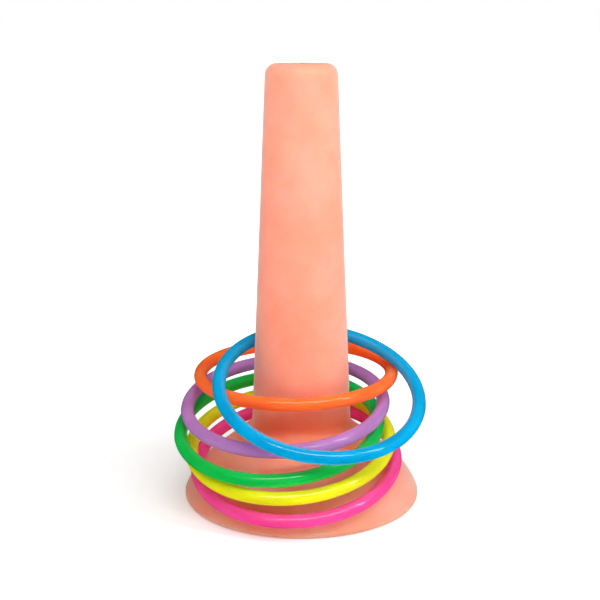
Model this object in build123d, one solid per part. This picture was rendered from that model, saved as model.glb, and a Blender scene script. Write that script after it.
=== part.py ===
"""Tabletop ring toss set: a soft moulded post on a suction base, and six rings lying over it.

The post is a plain tapered peg with a rounded flat top. It and the hollow suction base are one moulding.
The six rings are equal, seamless, round-section mouldings. Each lies on the one below it, leaning as it
fell. Millimetres, +Z up. The origin is the centre of the base on the table, on the post's axis.
"""

from build123d import *
import math
import os

# Rings
RING_OUTER_DIAMETER = 76.0
RING_SECTION_DIAMETER = 4.8

# Post
POST_HEIGHT = 156.5
POST_FOOT_RADIUS = 18.0
POST_TOP_RADIUS = 12.5
POST_TOP_ROUND = 4.0

# Suction base: a cone with a rounded shoulder, standing on a narrow flat land round its hollow. The rim
# and shoulder are given at their corners, before these are rounded.
RIM_RADIUS = 43.8
RIM_ROUND = 1.2
SHOULDER_RADIUS = 40.3
SHOULDER_HEIGHT = 9.7
SHOULDER_ROUND = 28.0
FOOT_HEIGHT = 27.8
FOOT_ROUND = 3.0
HOLLOW_RADIUS = 39.0
HOLLOW_DEPTH = 11.0

# How each ring lies, lowest first: centre x, y, z, then the lean in degrees and the bearing, from +X
# towards +Y, of the ring's lowest point.
RING_PLACES = {
    "ring_pink": (-1.9, -9.6, 16.5, 15.5, -101.4),
    "ring_yellow": (-4.1, -8.5, 23.0, 13.3, -104.5),
    "ring_green": (-8.0, -6.6, 28.5, 13.2, -106.0),
    "ring_purple": (-5.9, -1.1, 35.1, 10.1, -104.6),
    "ring_orange": (-2.0, 11.9, 42.8, 2.3, -112.1),
    "ring_blue": (6.4, -11.9, 43.3, 22.3, -74.3),
}


def toss_post():
    """The post and its suction base, turned from one half section."""
    with BuildPart() as part:
        with BuildSketch(Plane.XZ):
            with BuildLine():
                FilletPolyline(
                    (HOLLOW_RADIUS, 0),
                    (RIM_RADIUS, 0),
                    (SHOULDER_RADIUS, SHOULDER_HEIGHT),
                    (POST_FOOT_RADIUS, FOOT_HEIGHT),
                    (POST_TOP_RADIUS, POST_HEIGHT),
                    (0, POST_HEIGHT),
                    radius=[RIM_ROUND, SHOULDER_ROUND, FOOT_ROUND, POST_TOP_ROUND],
                )
                Line((0, POST_HEIGHT), (0, HOLLOW_DEPTH))
                TangentArc((0, HOLLOW_DEPTH), (HOLLOW_RADIUS, 0), tangent=(1, 0))
            make_face()
        revolve(axis=Axis.Z)
    return part.part


def ring(place):
    """A plain torus, leaning so that its low side is at the stated bearing."""
    x, y, z, lean, bearing = place
    section_radius = RING_SECTION_DIAMETER / 2
    middle_radius = RING_OUTER_DIAMETER / 2 - section_radius
    across = math.radians(bearing + 90)
    low_side_axis = Axis((0, 0, 0), (math.cos(across), math.sin(across), 0))
    flat = Solid.make_torus(middle_radius, section_radius)
    return flat.rotate(low_side_axis, lean).translate((x, y, z))


os.makedirs("parts", exist_ok=True)
export_step(toss_post(), "parts/toss_post.step")
for name, place in RING_PLACES.items():
    export_step(ring(place), f"parts/{name}.step")
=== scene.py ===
"""Looks of the ring toss set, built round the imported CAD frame.

The frame gives every size and place: the post's outline is cut from its CAD mesh, and each ring's
centre, axis and radii are measured on its own CAD mesh. Metres throughout.
"""

import math

import bmesh
import bpy
import numpy as np
from mathutils import Matrix, Vector, noise


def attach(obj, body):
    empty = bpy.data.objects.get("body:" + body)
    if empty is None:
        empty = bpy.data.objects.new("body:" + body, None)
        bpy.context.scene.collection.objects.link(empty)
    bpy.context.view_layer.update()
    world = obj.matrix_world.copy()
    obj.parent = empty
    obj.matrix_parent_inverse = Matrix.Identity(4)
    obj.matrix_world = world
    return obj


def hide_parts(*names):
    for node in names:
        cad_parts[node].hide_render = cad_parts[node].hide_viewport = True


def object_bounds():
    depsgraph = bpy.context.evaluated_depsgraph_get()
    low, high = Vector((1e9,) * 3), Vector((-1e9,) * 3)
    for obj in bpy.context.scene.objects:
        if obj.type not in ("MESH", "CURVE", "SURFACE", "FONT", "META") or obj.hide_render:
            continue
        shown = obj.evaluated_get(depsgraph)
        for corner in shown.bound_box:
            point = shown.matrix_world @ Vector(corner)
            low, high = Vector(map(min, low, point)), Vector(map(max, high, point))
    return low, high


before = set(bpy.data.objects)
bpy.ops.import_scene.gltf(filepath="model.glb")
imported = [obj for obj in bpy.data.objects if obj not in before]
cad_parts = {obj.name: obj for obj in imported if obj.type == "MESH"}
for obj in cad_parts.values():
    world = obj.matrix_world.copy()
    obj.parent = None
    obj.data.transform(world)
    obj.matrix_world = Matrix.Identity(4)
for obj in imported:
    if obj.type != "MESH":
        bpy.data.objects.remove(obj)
cad_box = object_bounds()
floor_z = cad_box[0].z
MM = 0.001

# Colours are sRGB, 0 to 1, as they look under white light. A scatter is how far light spreads below the
# surface, and a roughness is its least and its most.
RING_COLOURS = {
    "pink": (0.89, 0.30, 0.59),
    "yellow": (0.85, 0.84, 0.12),
    "green": (0.08, 0.70, 0.30),
    "purple": (0.68, 0.48, 0.70),
    "orange": (0.98, 0.45, 0.19),
    "blue": (0.00, 0.61, 0.78),
}
# Painted glow: the rings emit a deeper tone of their own colour, though they are no lamps, which lifts
# their shaded sides and tints what is near them
RING_PAINTED_GLOW = 0.10
RING_SCATTER = 5.0 * MM
RING_ROUGHNESS = (0.11, 0.17)
VINYL = (0.95, 0.645, 0.56)
VINYL_WARM = (0.95, 0.59, 0.485)
# Painted shade: the deeper, redder colour mixed in round the post's foot, where the post meets the base,
# and how strongly it is mixed in
VINYL_FOOT_SHADE = (0.97, 0.47, 0.31)
VINYL_FOOT_SHADE_STRENGTH = 0.85
VINYL_SCATTER = 15.0 * MM
VINYL_SCATTER_BY_CHANNEL = (1.0, 0.3, 0.14)
VINYL_ROUGHNESS = (0.40, 0.54)

# Surface detail, finer as the scale goes up, and how deep its bumps are
STREAK_STRETCH = (7.0, 2.2, 1.0)
STREAK_SCALE = 2.0
MARK_SCALE = 900.0
RIPPLE_SCALE = 260.0
RIPPLE_DEPTH = 0.02 * MM
CLOUD_SCALE = 42.0
# Noise scale for the ragged edge of the painted shade round the foot
FOOT_SHADE_EDGE_SCALE = 95.0
PORE_SCALE = 700.0
PORE_DEPTH = 0.06 * MM
GRAIN_SCALE = 2400.0
GRAIN_DEPTH = 0.03 * MM

# How bright the white surroundings are level with the object, how much more towards +X and +Z, and the
# part of it that shows as reflections
ROOM_LEVEL = 0.17
ROOM_SLOPE = (0.16, 0.0, 0.30)
ROOM_GLOSS = 0.14

# The floor's own glow: its strength next to the object, and how far out it starts to grow and is full
FLOOR_GLOW_NEAR = 0.20
FLOOR_NEAR = 0.06
FLOOR_FAR = 0.5
FLOOR_HALF_SIDE = 30.0
FLOOR_DROP = 0.02 * MM

# The camera looks down a little on a point near the middle of the object
CAMERA_TARGET = Vector((-0.5 * MM, 0, 73.1 * MM))
CAMERA_DISTANCE = 420 * MM
CAMERA_ELEVATION = math.radians(13.0)
CAMERA_LENS = 70.3
CAMERA_SENSOR = 36.0

# Lamps: azimuth and elevation in degrees, distance, width and height in metres, and power in watts
LAMP_TARGET = Vector((0, 0, 60 * MM))
STRIPS = {
    "strip_light": (4, 52, 0.8, 0.8, 0.10, 3.4),
    "right_strip": (62, 38, 0.9, 0.08, 0.6, 1.5),
}
SOFT_LAMPS = {
    "top_light": (0, 80, 1.0, 0.7, 0.7, 2.3),
    "front_fill": (0, 14, 1.2, 0.7, 0.5, 2.0),
    "right_light": (75, 25, 0.9, 0.5, 0.5, 1.1),
}

# Ring mesh: steps round its circle and round its section, and the mould's parting line
RING_STEPS = 288
SECTION_STEPS = 40
RING_INSET = 0.05 * MM
PARTING_HEIGHT = 0.045 * MM
PARTING_HALF_WIDTH = math.radians(4)

# Post mesh: steps round its axis and along its outline, what counts as a corner of the outline, how often
# it is smoothed, how much more height counts than reach in finding its top edge, then its small features
TURN_STEPS = 320
OUTLINE_STEP = 0.8 * MM
CORNER_ANGLE = math.radians(25)
SMOOTHING_PASSES = 2
TOP_BIAS = 10
UNEVENNESS = 0.14 * MM
UNEVEN_SIZE = 9 * MM
# How far the painted shade round the foot reaches, and how far its edge wanders
FOOT_SHADE_REACH = 9 * MM
FOOT_SHADE_RAGGED = 8 * MM
SEAM_HEIGHT = 0.10 * MM
SEAM_HALF_WIDTH = 0.35 * MM
PIP_RADIUS = 2.2 * MM
PIP_HEIGHT = 0.9 * MM

# Heights that tell the post's features apart: the hollow's ceiling is lower than the first, and what is
# lower than the second stands on the table and stays flat
ABOVE_HOLLOW = 20 * MM
ON_TABLE = 0.02 * MM

# Distances that count as none: between points that are one, and from the plane that cuts the post
SAME_POINT = 1e-6
ON_PLANE = 1e-7


def linear(colour):
    """An sRGB colour as linear RGBA, which shader sockets want."""
    def channel(c):
        return c / 12.92 if c <= 0.04045 else ((c + 0.055) / 1.055) ** 2.4
    return (*[channel(c) for c in colour], 1.0)


def deeper(colour):
    """The sRGB colour with its weaker channels weaker still, and its strongest as strong."""
    return tuple(c * c / max(colour) for c in colour)


def shade(colour, factor):
    """The colour scaled towards black or white, clipped to 0 to 1."""
    return tuple(min(1.0, max(0.0, c * factor)) for c in colour)


class Nodes:
    """A material's node tree, with short ways to add and join nodes."""

    def __init__(self, name):
        self.material = bpy.data.materials.new(name)
        self.material.use_nodes = True
        self.tree = self.material.node_tree
        self.shader = self.tree.nodes["Principled BSDF"]

    def add(self, kind, inputs=None, **settings):
        node = self.tree.nodes.new("ShaderNode" + kind)
        for key, value in settings.items():
            setattr(node, key, value)
        for key, value in (inputs or {}).items():
            node.inputs[key].default_value = value
        return node

    def join(self, output, target):
        self.tree.links.new(output, target)

    def set(self, **values):
        for key, value in values.items():
            self.shader.inputs[key.replace("_", " ")].default_value = value

    def noise(self, vector, scale, detail=2.0, roughness=0.5):
        node = self.add("TexNoise", {"Scale": scale, "Detail": detail, "Roughness": roughness})
        self.join(vector, node.inputs["Vector"])
        return node.outputs["Fac"]

    def spread(self, value, low, high, out_low, out_high):
        """value mapped from low..high to out_low..out_high."""
        ends = {"From Min": low, "From Max": high, "To Min": out_low, "To Max": out_high}
        node = self.add("MapRange", ends)
        self.join(value, node.inputs["Value"])
        return node.outputs["Result"]

    def mix(self, factor, first, second):
        """first to second, each a colour or an output, as factor goes from 0 to 1."""
        node = self.add("Mix", data_type="RGBA")
        self.join(factor, node.inputs["Factor"])
        sockets = [socket for socket in node.inputs if socket.type == "RGBA"]
        for socket, value in zip(sockets, (first, second)):
            if isinstance(value, tuple):
                socket.default_value = value
            else:
                self.join(value, socket)
        return next(socket for socket in node.outputs if socket.type == "RGBA")

    def bump(self, height, distance, strength, below=None):
        """The normal that height gives, on top of the normal below."""
        node = self.add("Bump", {"Strength": strength, "Distance": distance})
        self.join(height, node.inputs["Height"])
        if below is not None:
            self.join(below, node.inputs["Normal"])
        return node.outputs["Normal"]


def ring_plastic(name, colour):
    """Glossy dyed plastic: streaks of dye drawn out along the ring, fine handling marks, and a painted glow
    of its own colour.
    """
    n = Nodes(name)
    coords = n.add("TexCoord")
    along = n.add("Mapping", {"Scale": STREAK_STRETCH})
    n.join(coords.outputs["UV"], along.inputs["Vector"])
    streaks = n.noise(along.outputs["Vector"], STREAK_SCALE, 3.0)
    dye = n.spread(streaks, 0.35, 0.65, 0.0, 1.0)
    deep = linear(shade(colour, 0.95))
    pale = linear(tuple(min(1.0, c * 1.02 + 0.02) for c in colour))
    n.join(n.mix(dye, deep, pale), n.shader.inputs["Base Color"])
    marks = n.noise(coords.outputs["Object"], MARK_SCALE, 3.0, 0.6)
    n.join(n.spread(marks, 0.3, 0.7, *RING_ROUGHNESS), n.shader.inputs["Roughness"])
    ripple = n.noise(coords.outputs["Object"], RIPPLE_SCALE, 2.0)
    n.join(n.bump(ripple, RIPPLE_DEPTH, 0.1), n.shader.inputs["Normal"])
    n.set(IOR=1.5, Specular_IOR_Level=0.5, Subsurface_Weight=1.0, Subsurface_Scale=RING_SCATTER)
    # Painted glow: emission of the ring's own deeper colour
    n.set(Emission_Color=linear(deeper(colour)), Emission_Strength=RING_PAINTED_GLOW)
    n.shader.inputs["Subsurface Radius"].default_value = linear(colour)[:3]
    return n.material


def post_vinyl(foot_height):
    """Soft moulded vinyl: satin and fine grained, with clouded colour, and painted shade round the foot
    where the post meets the base.
    """
    n = Nodes("post_vinyl")
    place = n.add("TexCoord").outputs["Object"]
    height = n.add("SeparateXYZ")
    n.join(place, height.inputs["Vector"])
    clouds = n.spread(n.noise(place, CLOUD_SCALE, 3.0, 0.55), 0.38, 0.66, 0.0, 1.0)
    colour = n.mix(clouds, linear(VINYL_WARM), linear(VINYL))
    # Painted shade: a ragged band round the foot is mixed towards a deeper, redder colour
    foot = n.add("Math", {1: foot_height}, operation="SUBTRACT")
    n.join(height.outputs["Z"], foot.inputs[0])
    ragged = n.add("Math", {1: FOOT_SHADE_RAGGED, 2: -FOOT_SHADE_RAGGED / 2}, operation="MULTIPLY_ADD")
    n.join(n.noise(place, FOOT_SHADE_EDGE_SCALE, 3.0, 0.5), ragged.inputs[0])
    waver = n.add("Math", operation="ADD")
    n.join(foot.outputs["Value"], waver.inputs[0])
    n.join(ragged.outputs["Value"], waver.inputs[1])
    apart = n.add("Math", operation="ABSOLUTE")
    n.join(waver.outputs["Value"], apart.inputs[0])
    painted_foot_shade = n.spread(apart.outputs["Value"], 0.0, FOOT_SHADE_REACH, VINYL_FOOT_SHADE_STRENGTH, 0.0)
    n.join(n.mix(painted_foot_shade, colour, linear(VINYL_FOOT_SHADE)), n.shader.inputs["Base Color"])
    grain = n.noise(place, GRAIN_SCALE, 2.0, 0.6)
    pores = n.noise(place, PORE_SCALE, 3.0, 0.5)
    n.join(n.spread(pores, 0.3, 0.7, *VINYL_ROUGHNESS), n.shader.inputs["Roughness"])
    fine = n.bump(grain, GRAIN_DEPTH, 0.5)
    n.join(n.bump(pores, PORE_DEPTH, 0.5, fine), n.shader.inputs["Normal"])
    n.set(IOR=1.46, Specular_IOR_Level=0.4, Subsurface_Weight=1.0, Subsurface_Scale=VINYL_SCATTER)
    n.set(Sheen_Weight=0.35, Sheen_Roughness=0.4)
    n.shader.inputs["Subsurface Radius"].default_value = VINYL_SCATTER_BY_CHANNEL
    return n.material


def pale_floor():
    """A plain matt white table, which glows towards the distance so that it has no horizon."""
    n = Nodes("pale_floor")
    n.set(Base_Color=linear((0.95, 0.95, 0.95)), Roughness=0.8, Emission_Color=(1, 1, 1, 1))
    distance = n.add("VectorMath", operation="LENGTH")
    n.join(n.add("TexCoord").outputs["Object"], distance.inputs["Vector"])
    glow = n.spread(distance.outputs["Value"], FLOOR_NEAR, FLOOR_FAR, FLOOR_GLOW_NEAR, 1.0)
    n.join(glow, n.shader.inputs["Emission Strength"])
    return n.material


def mesh_object(name, bm, material):
    """bm as a smooth-shaded object in the scene."""
    bmesh.ops.recalc_face_normals(bm, faces=bm.faces)
    mesh = bpy.data.meshes.new(name)
    bm.to_mesh(mesh)
    bm.free()
    mesh.shade_smooth()
    mesh.materials.append(material)
    piece = bpy.data.objects.new(name, mesh)
    bpy.context.scene.collection.objects.link(piece)
    return piece


def measure_ring(node):
    """A ring's centre, axis, middle radius and section radius, from its CAD mesh."""
    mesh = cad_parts[node].data
    points = np.array([p.center for p in mesh.polygons])
    areas = np.array([p.area for p in mesh.polygons])
    centre = areas @ points / areas.sum()
    apart = points - centre
    spread = (apart * areas[:, None]).T @ apart
    axis = np.linalg.eigh(spread)[1][:, 0]
    axis = axis if axis[2] > 0 else -axis
    corners = np.array([v.co for v in mesh.vertices]) - centre
    height = corners @ axis
    reach = np.linalg.norm(corners - np.outer(height, axis), axis=1)
    return Vector(centre), Vector(axis), (reach.max() + reach.min()) / 2, (reach.max() - reach.min()) / 2


def ring_mesh(middle, section):
    """A torus round Z with a mould's parting line on its outer and inner sides."""
    bm = bmesh.new()
    uv = bm.loops.layers.uv.new("UVMap")
    rows = []
    for i in range(RING_STEPS):
        turn = math.tau * i / RING_STEPS
        row = []
        for j in range(SECTION_STEPS):
            angle = math.tau * j / SECTION_STEPS
            off = min(abs(math.remainder(angle, math.pi)) / PARTING_HALF_WIDTH, 1.0)
            radius = section - RING_INSET + PARTING_HEIGHT * (1 - off)
            reach = middle + radius * math.cos(angle)
            place = (reach * math.cos(turn), reach * math.sin(turn), radius * math.sin(angle))
            row.append(bm.verts.new(place))
        rows.append(row)
    for i in range(RING_STEPS):
        for j in range(SECTION_STEPS):
            k = (i + 1) % RING_STEPS
            m = (j + 1) % SECTION_STEPS
            face = bm.faces.new((rows[i][j], rows[k][j], rows[k][m], rows[i][m]))
            ends = ((i, j), (i + 1, j), (i + 1, j + 1), (i, j + 1))
            for loop, (a, b) in zip(face.loops, ends):
                loop[uv].uv = (a / RING_STEPS, b / SECTION_STEPS)
    return bm


def toss_ring(colour_name):
    """One ring, lying where its CAD node lies."""
    node = f"ring_{colour_name}"
    centre, axis, middle, section = measure_ring(node)
    material = ring_plastic(f"{colour_name}_plastic", RING_COLOURS[colour_name])
    piece = mesh_object(f"{node}_moulding", ring_mesh(middle, section), material)
    piece.data.transform(axis.to_track_quat("Z", "Y").to_matrix().to_4x4())
    piece.data.transform(Matrix.Translation(centre))
    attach(piece, f"{colour_name}_ring")
    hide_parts(node)


def half_outline(node):
    """The node's outline in the half plane x > 0, y = 0, from its axis' top to its bottom, as (r, z)."""
    bm = bmesh.new()
    bm.from_mesh(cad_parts[node].data)
    bmesh.ops.remove_doubles(bm, verts=bm.verts, dist=SAME_POINT)
    everything = bm.verts[:] + bm.edges[:] + bm.faces[:]
    middle = {"plane_co": (0, 0, 0), "plane_no": (0, 1, 0)}
    cut = bmesh.ops.bisect_plane(bm, geom=everything, dist=ON_PLANE, **middle)
    edges = {e for e in cut["geom_cut"] if isinstance(e, bmesh.types.BMEdge)}
    starts = [v for e in edges for v in e.verts if v.co.x > -ON_PLANE]
    here = max(starts, key=lambda v: v.co.z - v.co.x)
    line = []
    while here is not None:
        line.append((max(0.0, here.co.x), here.co.z))
        onward = None
        for edge in here.link_edges:
            other = edge.other_vert(here)
            usable = edge in edges and other.co.x > -ON_PLANE
            edges.discard(edge)
            if usable:
                onward = other
                break
        here = onward
    bm.free()
    return [(0.0, line[0][1]), *line, (0.0, line[-1][1])]


def even_outline(line):
    """The outline with evenly spaced points: its corners stay, and the curves between them are smoothed."""
    points = [Vector(p) for p in line]
    corners = [0]
    for i in range(1, len(points) - 1):
        if (points[i] - points[i - 1]).angle(points[i + 1] - points[i], 0.0) > CORNER_ANGLE:
            corners.append(i)
    corners.append(len(points) - 1)
    even = [points[0]]
    for first, last in zip(corners, corners[1:]):
        stretch = points[first:last + 1]
        reach = np.cumsum([0.0] + [(q - p).length for p, q in zip(stretch, stretch[1:])])
        steps = max(1, round(reach[-1] / OUTLINE_STEP))
        at = np.linspace(0, reach[-1], steps + 1)
        r = np.interp(at, reach, [p.x for p in stretch])
        z = np.interp(at, reach, [p.y for p in stretch])
        for _ in range(SMOOTHING_PASSES):
            r[1:-1] = (r[:-2] + 2 * r[1:-1] + r[2:]) / 4
            z[1:-1] = (z[:-2] + 2 * z[1:-1] + z[2:]) / 4
        even += [Vector(p) for p in zip(r[1:], z[1:])]
    return even


def foot_of(line):
    """The point where the base meets the post: the farthest one from the straight line from rim to top."""
    rim = max(line, key=lambda p: p.x)
    top = max(line, key=lambda p: p.y * TOP_BIAS + p.x)
    across = Vector((rim.y - top.y, top.x - rim.x)).normalized()
    outside = line[:line.index(rim)]
    return max(outside, key=lambda p: abs((p - rim).dot(across)))


def inward_normals(line):
    """The direction into the material at each point of the outline, which has it on the right."""
    normals = []
    for i in range(len(line)):
        along = line[min(i + 1, len(line) - 1)] - line[max(i - 1, 0)]
        normals.append(Vector((along.y, -along.x)).normalized())
    return normals


def post_mesh(line):
    """The outline turned round Z, slightly uneven, with the mould's seam on both sides and a pip below."""
    bm = bmesh.new()
    normals = inward_normals(line)
    rows = []
    for (r, z), normal in zip(line, normals):
        row = []
        for i in range(TURN_STEPS if r > SAME_POINT else 1):
            turn = math.tau * i / TURN_STEPS
            where = Vector((r * math.cos(turn), r * math.sin(turn), z))
            uneven = 0.5 + 0.5 * noise.noise(where / UNEVEN_SIZE)
            seam = max(0.0, 1 - abs(where.y) / SEAM_HALF_WIDTH) if r > PIP_RADIUS else 0.0
            depth = SEAM_HEIGHT * (1 - seam) + UNEVENNESS * uneven * (1 - seam)
            if r < PIP_RADIUS and z < ABOVE_HOLLOW:
                depth -= PIP_HEIGHT * (1 - (r / PIP_RADIUS) ** 2)
            if z < ON_TABLE:
                depth = 0.0
            reach = max(0.0, r + depth * normal.x)
            place = (reach * math.cos(turn), reach * math.sin(turn), z + depth * normal.y)
            row.append(bm.verts.new(place))
        rows.append(row)
    for upper, lower in zip(rows, rows[1:]):
        for i in range(TURN_STEPS):
            k = (i + 1) % TURN_STEPS
            if len(upper) == 1:
                bm.faces.new((upper[0], lower[i], lower[k]))
            elif len(lower) == 1:
                bm.faces.new((upper[i], lower[0], upper[k]))
            else:
                bm.faces.new((upper[i], lower[i], lower[k], upper[k]))
    return bm


def post_and_base():
    """The one-piece vinyl post on its hollow suction base."""
    line = even_outline(half_outline("toss_post"))
    piece = mesh_object("post_moulding", post_mesh(line), post_vinyl(foot_of(line).y))
    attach(piece, "post")
    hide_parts("toss_post")


def make_floor():
    """The white table under the object, which isn't part of it."""
    bm = bmesh.new()
    bmesh.ops.create_grid(bm, x_segments=8, y_segments=8, size=FLOOR_HALF_SIDE)
    floor = mesh_object("floor", bm, pale_floor())
    floor.location.z = floor_z - FLOOR_DROP
    floor.visible_glossy = False


def look_at(thing, target):
    """Turns a lamp or camera to face the target."""
    thing.rotation_mode = "QUATERNION"
    thing.rotation_quaternion = (Vector(target) - thing.location).to_track_quat("-Z", "Y")


def softbox(name, azimuth, elevation, distance, width, height, power):
    """An area light aimed at the object. Azimuth 0 is the camera's side, and positive is to its right."""
    light = bpy.data.lights.new(name, "AREA")
    light.shape = "RECTANGLE"
    light.size = width
    light.size_y = height
    light.energy = power
    lamp = bpy.data.objects.new(name, light)
    bpy.context.scene.collection.objects.link(lamp)
    a = math.radians(azimuth)
    e = math.radians(elevation)
    outwards = Vector((math.sin(a) * math.cos(e), -math.cos(a) * math.cos(e), math.sin(e)))
    lamp.location = LAMP_TARGET + distance * outwards
    look_at(lamp, LAMP_TARGET)
    return lamp


def white_surroundings():
    """A white room, brighter above and on the right, dim in reflections and plain white to the eye."""
    world = bpy.data.worlds.new("white_surroundings")
    world.use_nodes = True
    tree = world.node_tree
    coords = tree.nodes.new("ShaderNodeTexCoord")
    rays = tree.nodes.new("ShaderNodeLightPath")
    towards = tree.nodes.new("ShaderNodeVectorMath")
    towards.operation = "DOT_PRODUCT"
    towards.inputs[1].default_value = ROOM_SLOPE
    level = tree.nodes.new("ShaderNodeMath")
    level.operation = "ADD"
    level.use_clamp = True
    level.inputs[1].default_value = ROOM_LEVEL
    gloss = tree.nodes.new("ShaderNodeMapRange")
    gloss.inputs["To Min"].default_value = 1.0
    gloss.inputs["To Max"].default_value = ROOM_GLOSS
    strength = tree.nodes.new("ShaderNodeMath")
    strength.operation = "MULTIPLY"
    room = tree.nodes["Background"]
    room.inputs["Color"].default_value = (1, 1, 1, 1)
    backdrop = tree.nodes.new("ShaderNodeBackground")
    backdrop.inputs["Color"].default_value = (1, 1, 1, 1)
    choose = tree.nodes.new("ShaderNodeMixShader")
    tree.links.new(coords.outputs["Generated"], towards.inputs[0])
    tree.links.new(towards.outputs["Value"], level.inputs[0])
    tree.links.new(rays.outputs["Is Glossy Ray"], gloss.inputs["Value"])
    tree.links.new(level.outputs["Value"], strength.inputs[0])
    tree.links.new(gloss.outputs["Result"], strength.inputs[1])
    tree.links.new(strength.outputs["Value"], room.inputs["Strength"])
    tree.links.new(rays.outputs["Is Camera Ray"], choose.inputs["Fac"])
    tree.links.new(room.outputs["Background"], choose.inputs[1])
    tree.links.new(backdrop.outputs["Background"], choose.inputs[2])
    tree.links.new(choose.outputs["Shader"], tree.nodes["World Output"].inputs["Surface"])
    bpy.context.scene.world = world


def studio():
    """Plain white light: soft from all round, and two strips, which are the only bright highlights."""
    white_surroundings()
    bpy.context.scene.view_settings.view_transform = "Standard"
    for name, numbers in STRIPS.items():
        softbox(name, *numbers)
    for name, numbers in SOFT_LAMPS.items():
        lamp = softbox(name, *numbers)
        lamp.visible_glossy = False


def photo_camera():
    """The camera, in front of the object (-Y) and a little above it."""
    camera = bpy.data.cameras.new("camera")
    camera.sensor_width = CAMERA_SENSOR
    camera.lens = CAMERA_LENS
    eye = bpy.data.objects.new("camera", camera)
    bpy.context.scene.collection.objects.link(eye)
    outwards = Vector((0, -math.cos(CAMERA_ELEVATION), math.sin(CAMERA_ELEVATION)))
    eye.location = CAMERA_TARGET + CAMERA_DISTANCE * outwards
    look_at(eye, CAMERA_TARGET)
    camera.clip_start = 0.01
    camera.clip_end = 100
    bpy.context.scene.camera = eye


post_and_base()
for name in RING_COLOURS:
    toss_ring(name)
make_floor()
studio()
photo_camera()
